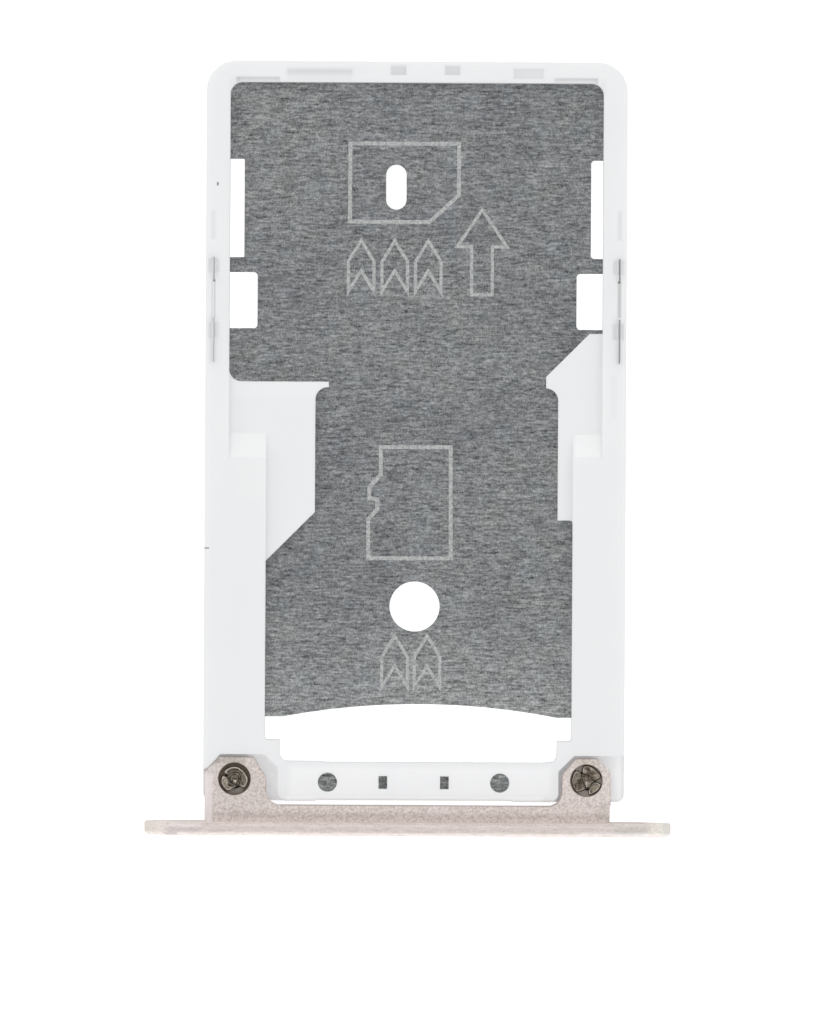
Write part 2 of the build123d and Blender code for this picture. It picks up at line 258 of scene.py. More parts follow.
def mixColour(tree, factor, first, second, blend="MIX"):
    node = tree.nodes.new("ShaderNodeMix")
    node.data_type = "RGBA"
    node.blend_type = blend
    for label, value in (("Factor", factor), ("A", first), ("B", second)):
        socket = node.inputs[label]
        if isinstance(value, (int, float)):
            socket.default_value = value
        elif isinstance(value, (tuple, list)):
            socket.default_value = (*value, 1)
        else:
            tree.links.new(value, socket)
    return node.outputs["Result"]


def rangeNode(tree, value, low, high, newLow, newHigh):
    node = tree.nodes.new("ShaderNodeMapRange")
    tree.links.new(value, node.inputs["Value"])
    labels = ("From Min", "From Max", "To Min", "To Max")
    for label, number in zip(labels, (low, high, newLow, newHigh)):
        node.inputs[label].default_value = number
    return node.outputs["Result"]


def bumpNode(tree, height, strength, distance):
    node = tree.nodes.new("ShaderNodeBump")
    node.inputs["Strength"].default_value = strength
    node.inputs["Distance"].default_value = distance
    tree.links.new(height, node.inputs["Height"])
    return node.outputs["Normal"]


bumpDepth = 0.00001         # in metres
noiseRange = (0.3, 0.7)     # nearly all of a noise lies between these


# Roughness and bump follow the value that the colour was made from
def addSurface(tree, shader, colour, value, roughness, bump=None):
    tree.links.new(colour, shader.inputs["Base Color"])
    tree.links.new(rangeNode(tree, value, *noiseRange, *roughness), shader.inputs["Roughness"])
    if bump is not None:
        tree.links.new(bumpNode(tree, value, bump, bumpDepth), shader.inputs["Normal"])


def boxMask(tree, position, centre, half, softness):
    mark = useGroup(tree, softMark, {"Position": position}, Centre=centre, Half_Size=half, Softness=softness)
    return mark["Mark"]


# Marks are (centre, half size, softness, what the colour is multiplied by)
def shadeMarks(tree, position, colour, marks):
    for centre, half, softness, shade in marks:
        shaded = mixColour(tree, 1.0, colour, shade, "MULTIPLY")
        colour = mixColour(tree, boxMask(tree, position, centre, half, softness), colour, shaded)
    return colour


# Small places with a tone of their own are (centre, half size, tone)
def paintMarks(tree, position, colour, marks, softness):
    for centre, half, tone in marks:
        colour = mixColour(tree, boxMask(tree, position, centre, half, softness), colour, tone)
    return colour


# Brushed steel of the sheet
sheetLook = {
    "strokeLength": 0.18, "strokeWidth": 0.082, "roughness": (0.50, 0.36), "bump": 0.20,
    "strokeStops": [
        (0.33, (0.060, 0.064, 0.068)), (0.5, (0.238, 0.246, 0.252)), (0.67, (0.480, 0.490, 0.494))],
    "cloudStops": [(0.35, (0.93, 0.93, 0.94)), (0.65, (1.05, 1.05, 1.04))],
    "tint": (-0.06, 0.02, 0.10),
    # Painted reflection of the lighting, slow over the sheet: paler at the front and far left, darker at the
    # far right
    "fades": [
        ((0, -14.0, 1.1), (12, 5.0, 6), 7.0, (1.42, 1.41, 1.38)),
        ((-7, 15.5, 1.1), (2, 1.0, 6), 6.0, (1.10, 1.09, 1.07)),
        ((6.5, 14.0, 1.1), (1.5, 1.0, 6), 5.0, (0.90, 0.91, 0.92)),
    ],
    # Upper edges of the bent side tabs, and their thin ends that show in the rails
    "tabSoftness": 0.03,
    "tabs": [
        ((0, 5, 2.4), (12, 20, 0.60), (0.80, 0.81, 0.82)),
        ((-7.976, 7.24, 2.0), (0.022, 0.50, 0.2), (0.34, 0.34, 0.34)),
        ((-7.960, 4.40, 2.0), (0.030, 0.95, 0.2), (0.52, 0.50, 0.52)),
        ((8.495, 7.24, 2.0), (0.036, 0.50, 0.2), (0.27, 0.29, 0.28)),
        ((8.500, 4.40, 2.0), (0.040, 1.00, 0.2), (0.35, 0.38, 0.37)),
    ],
}


def makeSheetSteel():
    look = sheetLook
    material, tree, shader, position = newFinish("sheetSteel", 1.0)
    strokes = useGroup(tree, brushing, {"Position": position},
                       Stroke_Length=look["strokeLength"], Stroke_Width=look["strokeWidth"])
    colour = rampNode(tree, strokes["Strokes"], look["strokeStops"])
    clouds = rampNode(tree, strokes["Clouds"], look["cloudStops"])
    colour = mixColour(tree, 1.0, colour, clouds, "MULTIPLY")
    tint = vectorNode(tree, "SUBTRACT", strokes["Tint"], (0.5, 0.5, 0.5))
    tint = vectorNode(tree, "MULTIPLY", tint, look["tint"])
    tint = vectorNode(tree, "ADD", tint, (1.0, 1.0, 1.0))
    colour = mixColour(tree, 1.0, colour, tint, "MULTIPLY")
    colour = shadeMarks(tree, position, colour, look["fades"])
    colour = paintMarks(tree, position, colour, look["tabs"], look["tabSoftness"])
    addSurface(tree, shader, colour, strokes["Strokes"], look["roughness"], look["bump"])
    return material


# White moulded plastic of the frame
plasticLook = {
    "grainSize": 0.35, "roughness": (0.38, 0.48), "bump": 0.08,
    "blotchStops": [(0.35, (0.843, 0.853, 0.864)), (0.6, (0.858, 0.866, 0.874))],
    "inside": {
        "Subsurface Weight": 0.35, "Subsurface Radius": (1.0, 0.95, 0.9), "Subsurface Scale": 0.0006},
    # Specks of dirt, and painted shade at the dark ends of the slits by the side tabs
    "speckSoftness": 0.05,
    "specksAndSlitShade": [
        ((-7.844, 10.72, 2.0), (0.030, 0.06, 0.3), (0.10, 0.10, 0.10)),
        ((-8.212, -4.079, 1.8), (0.09, 0.025, 0.5), (0.22, 0.22, 0.22)),
        ((-7.970, 6.793, 2.0), (0.045, 0.040, 0.3), (0.16, 0.16, 0.16)),
        ((8.485, 6.800, 2.0), (0.050, 0.040, 0.3), (0.12, 0.12, 0.12)),
    ],
    "marks": [
        # Painted shade in the shallow marks along the top bar, and in its corners
        ((-3.728, 15.174, 2.0), (1.308, 0.240, 0.15), 0.07, (0.94, 0.945, 0.95)),
        ((-3.728, 15.310, 2.0), (1.300, 0.060, 0.15), 0.10, (0.90, 0.905, 0.91)),
        ((-0.520, 15.357, 2.0), (0.310, 0.180, 0.15), 0.07, (0.84, 0.84, 0.84)),
        ((1.669, 15.369, 2.0), (0.310, 0.180, 0.15), 0.07, (0.84, 0.84, 0.84)),
        ((4.756, 15.250, 2.0), (0.610, 0.190, 0.15), 0.10, (0.90, 0.91, 0.91)),
        ((-6.262, 14.985, 2.0), (0.880, 0.090, 0.15), 0.15, (0.87, 0.87, 0.87)),
        ((-7.260, 14.720, 2.0), (0.060, 0.200, 0.15), 0.25, (0.94, 0.94, 0.94)),
        ((6.689, 15.000, 2.0), (0.850, 0.085, 0.15), 0.15, (0.88, 0.88, 0.88)),
        ((7.800, 14.720, 2.0), (0.060, 0.250, 0.15), 0.25, (0.93, 0.93, 0.93)),
        # Left rail: pads over the side tab, and painted shade along its slits
        ((-7.989, 7.409, 2.0), (0.240, 0.242, 0.15), 0.05, (0.95, 0.95, 0.96)),
        ((-8.071, 7.408, 2.0), (0.030, 0.240, 0.15), 0.06, (0.93, 0.92, 0.93)),
        ((-8.050, 5.924, 2.0), (0.024, 0.800, 0.15), 0.05, (0.80, 0.79, 0.81)),
        ((-7.945, 6.006, 2.0), (0.026, 0.730, 0.15), 0.05, (0.72, 0.71, 0.73)),
        ((-8.097, 4.769, 2.0), (0.050, 0.335, 0.15), 0.06, (0.92, 0.91, 0.93)),
        ((-7.822, 4.771, 2.0), (0.090, 0.335, 0.15), 0.06, (0.98, 0.98, 0.98)),
        # Right rail, the same, then faint painted shade beyond the tabs of both rails
        ((8.418, 7.386, 2.0), (0.220, 0.230, 0.15), 0.08, (0.94, 0.94, 0.94)),
        ((8.494, 6.075, 2.0), (0.070, 0.710, 0.15), 0.06, (0.70, 0.71, 0.70)),
        ((8.441, 4.786, 2.0), (0.230, 0.335, 0.15), 0.08, (0.925, 0.925, 0.93)),
        ((-8.008, 9.056, 2.0), (0.070, 0.560, 0.15), 0.18, (0.88, 0.89, 0.90)),
        ((8.500, 9.104, 2.0), (0.050, 0.560, 0.15), 0.18, (0.84, 0.85, 0.86)),
        ((8.284, 2.129, 2.0), (0.100, 0.850, 0.15), 0.20, (0.955, 0.96, 0.965)),
        # Painted light: paler places on the wings, on the pads at their ramps and on the front bar
        ((-5.463, 2.584, 1.8), (1.730, 0.480, 0.15), 0.45, (1.03, 1.03, 1.03)),
        ((-6.537, 0.098, 1.9), (0.700, 0.490, 0.3), 0.08, (1.05, 1.05, 1.045)),
        ((-6.469, -1.265, 1.9), (0.500, 0.700, 0.3), 0.40, (1.02, 1.015, 1.01)),
        ((7.236, 0.152, 1.9), (0.520, 0.450, 0.3), 0.10, (1.06, 1.06, 1.055)),
        ((0.501, -13.526, 1.9), (5.300, 0.600, 0.3), 0.25, (1.075, 1.072, 1.072)),
    ],
    # Painted light: a faint glow round the ears and at the front bar's outer edge, standing in for light
    # that comes through the thin plastic:
    # (centre, half size, softness, strength)
    "glowColour": (0.94, 0.96, 0.98),
    "paintedGlows": [
        ((-5.75, -13.50, 1.3), (0.85, 1.30, 0.25), 0.30, 0.20),
        ((-7.96, -12.80, 1.3), (0.24, 0.42, 0.60), 0.10, 0.33),
        ((-6.90, -12.55, 1.3), (1.00, 0.12, 0.50), 0.10, 0.13),
        ((7.25, -12.50, 1.3), (0.62, 0.12, 0.50), 0.10, 0.13),
        ((8.20, -13.30, 1.3), (0.48, 0.95, 0.25), 0.15, 0.16),
        ((6.35, -13.60, 1.3), (0.45, 1.30, 0.45), 0.30, 0.12),
        ((0.24, -14.38, 1.35), (5.20, 0.20, 0.75), 0.20, 0.12),
    ],
}


def makeWhitePlastic():
    look = plasticLook
    material, tree, shader, position = newFinish("whitePlastic", 0.0)
    for label, value in look["inside"].items():
        shader.inputs[label].default_value = value
    fine = useGroup(tree, grain, {"Position": position}, Grain_Size=look["grainSize"])
    colour = rampNode(tree, fine["Blotches"], look["blotchStops"])
    colour = shadeMarks(tree, position, colour, look["marks"])
    colour = paintMarks(tree, position, colour, look["specksAndSlitShade"], look["speckSoftness"])
    strength = None
    for centre, half, softness, level in look["paintedGlows"]:
        lit = mathNode(tree, "MULTIPLY", boxMask(tree, position, centre, half, softness), level)
        strength = lit if strength is None else mathNode(tree, "MAXIMUM", strength, lit)
    glow = mixColour(tree, strength, (0.0, 0.0, 0.0), look["glowColour"])
    tree.links.new(glow, shader.inputs["Emission Color"])
    shader.inputs["Emission Strength"].default_value = 1.0
    addSurface(tree, shader, colour, fine["Grain"], look["roughness"], look["bump"])
    return material


rivetCentres = {"left": (-7.04, -13.445), "right": (7.26, -13.445)}

# Blasted and anodised metal of the face, streaked along its outer edge
faceLook = {
    "grainSize": 0.085, "roughness": (0.58, 0.44), "bump": 0.35,
    "grainStops": [(0.28, (0.57, 0.505, 0.475)), (0.5, (0.760, 0.680, 0.645)), (0.72, (0.90, 0.83, 0.80))],
    "streakLength": 0.22, "streakWidth": 0.07, "streakLevels": (0.32, 0.68),
    "streakZone": ((0, -15.6, 1.5), (12, 0.42, 2), 0.05),
    "rimRadius": 0.695, "rimFade": (0.015, 0.06), "rimShade": (0.95, 0.95, 0.94),
    "bands": [
        # Painted shade on the block behind the front, and painted highlights and shade in fine lines along
        # the front's edges
        ((0, -14.94, 1.9), (8.4, 0.12, 0.3), 0.22, (0.86, 0.85, 0.85)),
        ((0, -15.175, 1.9), (8.45, 0.012, 0.4), 0.03, (1.10, 1.10, 1.10)),
        ((0, -15.245, 2.9), (8.45, 0.020, 0.4), 0.04, (0.94, 0.93, 0.93)),
        ((0, -15.305, 2.9), (8.45, 0.012, 0.4), 0.04, (1.09, 1.09, 1.09)),
        ((0, -15.46, 2.9), (9.6, 0.030, 0.4), 0.16, (0.95, 0.94, 0.94)),
        ((0, -15.77, 1.4), (11.0, 0.17, 1.9), 0.10, (1.24, 1.26, 1.28)),
        # Painted highlights and shade at the left end of the front, then at its right end
        ((-9.90, -15.66, 2.9), (0.55, 0.060, 0.2), 0.06, (0.80, 0.80, 0.80)),
        ((-10.45, -15.45, 1.5), (0.24, 0.40, 1.6), 0.10, (0.99, 1.03, 1.01)),
        ((-9.98, -15.40, 1.5), (0.21, 0.22, 1.6), 0.10, (1.06, 1.085, 1.085)),
        ((-9.04, -15.286, 2.9), (0.66, 0.070, 0.4), 0.08, (1.11, 1.15, 1.19)),
        ((-9.04, -15.530, 2.9), (0.66, 0.090, 0.4), 0.10, (0.94, 0.96, 0.97)),
        ((9.05, -15.40, 2.9), (0.72, 0.30, 0.4), 0.12, (0.965, 0.995, 0.99)),
        ((9.05, -15.432, 2.9), (0.70, 0.090, 0.4), 0.10, (0.915, 0.91, 0.90)),
        ((8.40, -15.575, 2.9), (1.40, 0.055, 0.4), 0.08, (1.10, 1.12, 1.14)),
        ((10.10, -15.40, 1.5), (0.25, 0.24, 1.6), 0.10, (1.05, 1.11, 1.09)),
        ((10.49, -15.40, 1.5), (0.14, 0.40, 1.6), 0.08, (0.965, 1.04, 1.04)),
        # Left ear: all of it a little darker, then painted shade at its far end and its outer corner
        ((-6.80, -13.80, 1.4), (1.13, 1.20, 0.75), 0.20, (0.945, 0.945, 0.945)),
        ((-7.27, -12.70, 1.4), (0.66, 0.12, 0.75), 0.12, (0.78, 0.79, 0.77)),
        ((-8.05, -12.98, 1.4), (0.22, 0.30, 0.75), 0.25, (0.94, 0.99, 1.0)),
        # Painted shade at the right ear's far end and along its outer side
        ((7.31, -12.70, 1.4), (0.48, 0.12, 0.75), 0.12, (0.86, 0.87, 0.83)),
        ((8.16, -14.10, 1.4), (0.12, 1.05, 0.75), 0.08, (0.92, 0.94, 0.94)),
        ((7.93, -14.66, 1.4), (0.16, 0.32, 0.75), 0.15, (0.89, 0.90, 0.89)),
    ],
    # Painted shade on the floors of the two counterbores, lighter below the left rivet where it opens, and a
    # painted reflection on the left ear's outer side:
    # (centre, half size, softness, share, tone)
    "plains": [
        ((-7.04, -13.445, 1.65), (0.70, 0.70, 0.15), 0.10, 1.0, (0.165, 0.136, 0.104)),
        ((-6.98, -13.90, 1.65), (0.28, 0.16, 0.15), 0.14, 1.0, (0.30, 0.27, 0.235)),
        ((7.26, -13.445, 1.65), (0.70, 0.70, 0.15), 0.10, 1.0, (0.42, 0.38, 0.34)),
        ((-8.20, -14.27, 1.4), (0.27, 0.98, 0.75), 0.06, 0.8, (0.835, 0.780, 0.775)),
    ],
}


def makeAnodisedFace():
    look = faceLook
    material, tree, shader, position = newFinish("anodisedFace", 1.0)
    blasted = useGroup(tree, grain, {"Position": position}, Grain_Size=look["grainSize"])
    streaks = useGroup(tree, brushing, {"Position": position},
                       Stroke_Length=look["streakLength"], Stroke_Width=look["streakWidth"])
    calmer = rangeNode(tree, streaks["Strokes"], *noiseRange, *look["streakLevels"])
    mixer = tree.nodes.new("ShaderNodeMix")
    tree.links.new(boxMask(tree, position, *look["streakZone"]), mixer.inputs["Factor"])
    tree.links.new(blasted["Grain"], mixer.inputs["A"])
    tree.links.new(calmer, mixer.inputs["B"])
    colour = rampNode(tree, mixer.outputs["Result"], look["grainStops"])
    colour = shadeMarks(tree, position, colour, look["bands"])
    # Painted shade in a thin ring round the edge of each counterbore
    for x, y in rivetCentres.values():
        away = useGroup(tree, radial, {"Position": position}, Centre=(x, y, 0))["Radius"]
        ring = mathNode(tree, "ABSOLUTE", mathNode(tree, "SUBTRACT", away, look["rimRadius"]))
        ring = rangeNode(tree, ring, *look["rimFade"], 1.0, 0.0)
        rim = mixColour(tree, 1.0, colour, look["rimShade"], "MULTIPLY")
        colour = mixColour(tree, ring, colour, rim)
    for centre, half, softness, share, tone in look["plains"]:
        mask = mathNode(tree, "MULTIPLY", boxMask(tree, position, centre, half, softness), share)
        colour = mixColour(tree, mask, colour, tone)
    addSurface(tree, shader, colour, blasted["Grain"], look["roughness"], look["bump"])
    return material


# Dark plated steel of the rivets, with its own finishes for rims with painted highlights, painted shade and
# painted glints.
# Touches are painted highlights and shade: (place from the rivet's middle, reach, tone)
rivetLook = {
    "grainSize": 0.11, "roughness": (0.28, 0.42), "bump": 0.3,
    "skinStops": [(0.32, (0.050, 0.042, 0.034)), (0.68, (0.230, 0.205, 0.175))],
    "wearStops": [(0.35, (0.76, 0.73, 0.69)), (0.65, (1.30, 1.24, 1.17))],
    "palerOutwards": (0.22, 0.52, 0.0, 0.09),
    "rimRoughness": (0.26, 0.38), "rimBump": 0.2, "rimGrain": 1.6, "rimPatches": (0.35, 0.60, 0.35, 1.0),
    "highlightOutwards": (0.30, 0.45, 0.0, 1.0), "leftToRight": (-1, 1, 0.0, 1.0),
    "rimDark": (0.15, 0.135, 0.112), "rimLeft": (0.60, 0.54, 0.48), "rimRight": (0.80, 0.73, 0.65),
    "shade": (0.058, 0.044, 0.032), "shadeRoughness": 0.5,
    "glint": (0.98, 0.96, 0.90), "glintRoughness": 0.2,
    "plainGrain": 0.05, "plainDarker": 0.7, "plainEnds": (0.35, 0.6), "plainSpread": 0.05,
    "touchCore": 0.35, "touchShare": 0.85,
    "touches": {
        "left": [
            ((0.02, 0.34), 0.17, (0.055, 0.047, 0.036)), ((0.40, 0.00), 0.22, (0.19, 0.170, 0.145)),
            ((-0.19, 0.25), 0.12, (0.075, 0.065, 0.050)), ((0.24, 0.25), 0.12, (0.080, 0.070, 0.055)),
            ((-0.19, -0.22), 0.13, (0.060, 0.052, 0.040)), ((-0.33, -0.10), 0.12, (0.50, 0.46, 0.41)),
            ((-0.33, -0.26), 0.11, (0.42, 0.38, 0.33)), ((0.13, 0.14), 0.11, (0.34, 0.31, 0.27)),
            ((-0.14, 0.12), 0.11, (0.30, 0.27, 0.23)), ((0.02, -0.14), 0.10, (0.32, 0.29, 0.25)),
        ],
        "right": [
            ((0.10, 0.47), 0.13, (0.070, 0.060, 0.047)), ((0.22, 0.29), 0.15, (0.085, 0.074, 0.058)),
            ((-0.25, -0.05), 0.18, (0.085, 0.074, 0.058)), ((-0.20, 0.20), 0.12, (0.10, 0.09, 0.07)),
            ((-0.27, -0.27), 0.14, (0.095, 0.083, 0.066)), ((0.11, 0.02), 0.12, (0.10, 0.09, 0.07)),
            ((-0.06, 0.38), 0.11, (0.32, 0.29, 0.25)), ((0.40, 0.19), 0.12, (0.30, 0.27, 0.23)),
            ((0.16, 0.13), 0.07, (0.30, 0.27, 0.23)), ((-0.45, 0.02), 0.11, (0.26, 0.235, 0.20)),
            ((0.24, 0.49), 0.12, (0.50, 0.46, 0.41)), ((0.38, -0.30), 0.26, (0.27, 0.25, 0.205)),
            ((0.02, -0.12), 0.13, (0.30, 0.28, 0.24)),
        ],
    },
}


# Distance from the nearer of the two rivets
def rivetRadius(tree, position):
    distances = [useGroup(tree, radial, {"Position": position}, Centre=(x, y, 0))["Radius"]
                 for x, y in rivetCentres.values()]
    return mathNode(tree, "MINIMUM", distances[0], distances[1])


# Painted highlights and shade: round lighter and darker places, fading out from their centres
def addTouches(tree, position, colour):
    look = rivetLook
    for side, (middleX, middleY) in rivetCentres.items():
        for (x, y), reach, tone in look["touches"][side]:
            centre = (middleX + x, middleY + y, 0)
            away = useGroup(tree, radial, {"Position": position}, Centre=centre)["Radius"]
            mask = rangeNode(tree, away, reach * look["touchCore"], reach, look["touchShare"], 0.0)
            colour = mixColour(tree, mask, colour, tone)
    return colour


def makeDarkRivet():
    look = rivetLook
    material, tree, shader, position = newFinish("darkRivet", 1.0)
    worn = useGroup(tree, grain, {"Position": position}, Grain_Size=look["grainSize"])
    # Painted shade: the skin darker towards each rivet's middle
    outward = rangeNode(tree, rivetRadius(tree, position), *look["palerOutwards"])
    skin = rampNode(tree, mathNode(tree, "ADD", worn["Grain"], outward), look["skinStops"])
    wear = rampNode(tree, worn["Grain"], look["wearStops"])
    colour = mixColour(tree, 1.0, addTouches(tree, position, skin), wear, "MULTIPLY")
    addSurface(tree, shader, colour, worn["Grain"], look["roughness"], look["bump"])
    return material


# Rims of the petals with a painted highlight where they stand outermost, brighter on the right rivet
def makeRivetRim():
    look = rivetLook
    material, tree, shader, position = newFinish("rivetRim", 1.0)
    worn = useGroup(tree, grain, {"Position": position}, Grain_Size=look["grainSize"] * look["rimGrain"])
    outward = rangeNode(tree, rivetRadius(tree, position), *look["highlightOutwards"])
    patchy = rangeNode(tree, worn["Grain"], *look["rimPatches"])
    split = tree.nodes.new("ShaderNodeSeparateXYZ")
    tree.links.new(position, split.inputs[0])
    onRight = rangeNode(tree, split.outputs["X"], *look["leftToRight"])
    bright = mixColour(tree, onRight, look["rimLeft"], look["rimRight"])
    colour = mixColour(tree, mathNode(tree, "MULTIPLY", outward, patchy), look["rimDark"], bright)
    addSurface(tree, shader, colour, worn["Grain"], look["rimRoughness"], look["rimBump"])
    return material


# One tone with a little mottling, for the painted shade under the petals and for the painted glints
def makePlainMetal(name, colour, roughness):
    look = rivetLook
    material, tree, shader, position = newFinish(name, 1.0)
    worn = useGroup(tree, grain, {"Position": position}, Grain_Size=look["plainGrain"])
    darker = tuple(channel * look["plainDarker"] for channel in colour)
    stops = list(zip(look["plainEnds"], (darker, colour)))
    mottled = rampNode(tree, worn["Grain"], stops)
    spread = look["plainSpread"]
    addSurface(tree, shader, mottled, worn["Grain"], (roughness - spread, roughness + spread))
    return material


# Frosted metal of the etched lines
etchLook = {
    "grainSize": 0.09, "metallic": 0.6, "roughness": (0.7, 0.5), "bump": 0.4,
    "stops": [(0.32, (0.34, 0.35, 0.35)), (0.66, (0.56, 0.57, 0.56))],
}


def makeEtchedMark():
    look = etchLook
    material, tree, shader, position = newFinish("etchedMark", look["metallic"])
    frosted = useGroup(tree, grain, {"Position": position}, Grain_Size=look["grainSize"])
    colour = rampNode(tree, frosted["Grain"], look["stops"])
    addSurface(tree, shader, colour, frosted["Grain"], look["roughness"], look["bump"])
    return material


finishes = {
    "sheet_steel": makeSheetSteel(),
    "white_plastic": makeWhitePlastic(),
    "anodised_face": makeAnodisedFace(),
    "dark_rivet": makeDarkRivet(),
}
etchedMark = makeEtchedMark()
rivetFinishes = {
    "skin": finishes["dark_rivet"],
    "rim": makeRivetRim(),
    "shade": makePlainMetal("rivetShade", rivetLook["shade"], rivetLook["shadeRoughness"]),
    "glint": makePlainMetal("rivetGlint", rivetLook["glint"], rivetLook["glintRoughness"]),
}
rivetSlots = {name: index for index, name in enumerate(rivetFinishes)}
nodeFinish = {
    "steel_plate": "sheet_steel",
    "plastic_frame": "white_plastic",
    "face": "anodised_face",
    "left_rivet": "dark_rivet",
    "right_rivet": "dark_rivet",
}
for nodeName, slotName in nodeFinish.items():
    node = nodes[nodeName]
    node.data.materials.clear()
    node.data.materials.append(finishes[slotName])
print("finishes made:", ", ".join(finishes))


# Outlines etched on the sheet, (across, along) from the middle of the front bar's outer edge
etching = {
    "cardLine": 0.160, "signLine": 0.130, "lineHeight": 0.006,
    "simCard": [(-2.71, 23.56), (0.53, 23.56), (1.715, 24.66), (1.715, 26.74), (-2.71, 26.74)],
    "memoryCard": [
        (-1.90, 9.86), (1.46, 9.88), (1.435, 14.40), (-1.41, 14.39), (-1.40, 13.26), (-1.865, 12.75),
        (-1.865, 12.32), (-1.54, 12.26), (-1.54, 11.86), (-1.907, 11.45)],
    "chevron": [(-0.52, 0.0), (0.0, 0.85), (0.52, 0.0), (0.52, 1.22), (0.0, 2.07), (-0.52, 1.22)],
    "arrow": [
        (-0.42, 0.0), (0.42, 0.0), (0.42, 1.95), (1.02, 1.95), (0.0, 3.45), (-1.02, 1.95), (-0.42, 1.95)],
    "upperChevrons": [(-2.245, 20.72), (-0.88, 20.72), (0.485, 20.72)],
    "upperArrow": (2.67, 20.61),
    "lowerChevrons": [(-0.80, 4.64), (0.52, 4.64)],
}


# A line drawn from point to point, left in edit mode
def drawLine(name, points):
    startFresh()
    bpy.ops.mesh.primitive_plane_add(size=0.1, location=(0, 0, 0))
    piece = bpy.context.object
    piece.name = name
    bpy.ops.object.mode_set(mode="EDIT")
    bpy.ops.mesh.merge(type="CENTER")
    bpy.ops.transform.translate(value=points[0])
    for before, after in zip(points, points[1:]):
        bpy.ops.mesh.extrude_region_move(TRANSFORM_OT_translate={"value": after - before})
    bpy.ops.mesh.select_all(action="SELECT")
    return piece


def alignNormals():
    bpy.ops.mesh.select_all(action="SELECT")
    bpy.ops.mesh.normals_make_consistent(inside=False)


# The line closed and filled, with its face selected
def drawFace(name, points):
    piece = drawLine(name, points)
    bpy.ops.mesh.edge_face_add()
    bpy.ops.mesh.normals_make_consistent(inside=False)
    return piece


# Outline moved outwards by half a line; corners run counter-clockwise
def widened(corners, by):
    points = [Vector(corner) for corner in corners]
    moved = []
    for index, point in enumerate(points):
        before = (point - points[index - 1]).normalized()
        after = (points[(index + 1) % len(points)] - point).normalized()
        both = Vector((before.y, -before.x)) + Vector((after.y, -after.x))
        moved.append(point + both * (by * 2 / both.length_squared))
    return moved


# The widened outline is filled, inset to a ring and given its height
def etchOutline(name, corners, lineWidth, at=(0.0, 0.0)):
    across, along = frameShift + at[0], frontBarY + at[1]
    outer = widened(corners, lineWidth / 2)
    piece = drawFace(name, [Vector((across + u, along + v, sheetTop)) for u, v in outer])
    bpy.ops.mesh.inset(thickness=lineWidth, depth=0, use_even_offset=True)
    bpy.ops.mesh.delete(type="FACE")
    bpy.ops.mesh.select_all(action="SELECT")
    bpy.ops.mesh.extrude_region_move(TRANSFORM_OT_translate={"value": (0, 0, etching["lineHeight"])})
    alignNormals()
    bpy.ops.object.mode_set(mode="OBJECT")
    piece.data.materials.append(etchedMark)
    return settle(piece)


etchOutline("etchedSimOutline", etching["simCard"], etching["cardLine"])
etchOutline("etchedMemoryOutline", etching["memoryCard"], etching["cardLine"])
for number, at in enumerate(etching["upperChevrons"]):
    etchOutline(f"etchedUpperChevron{number + 1}", etching["chevron"], etching["signLine"], at)
for number, at in enumerate(etching["lowerChevrons"]):
    etchOutline(f"etchedLowerChevron{number + 1}", etching["chevron"], etching["signLine"], at)
etchOutline("etchedUpperArrow", etching["arrow"], etching["signLine"], etching["upperArrow"])
print("etched outlines done")


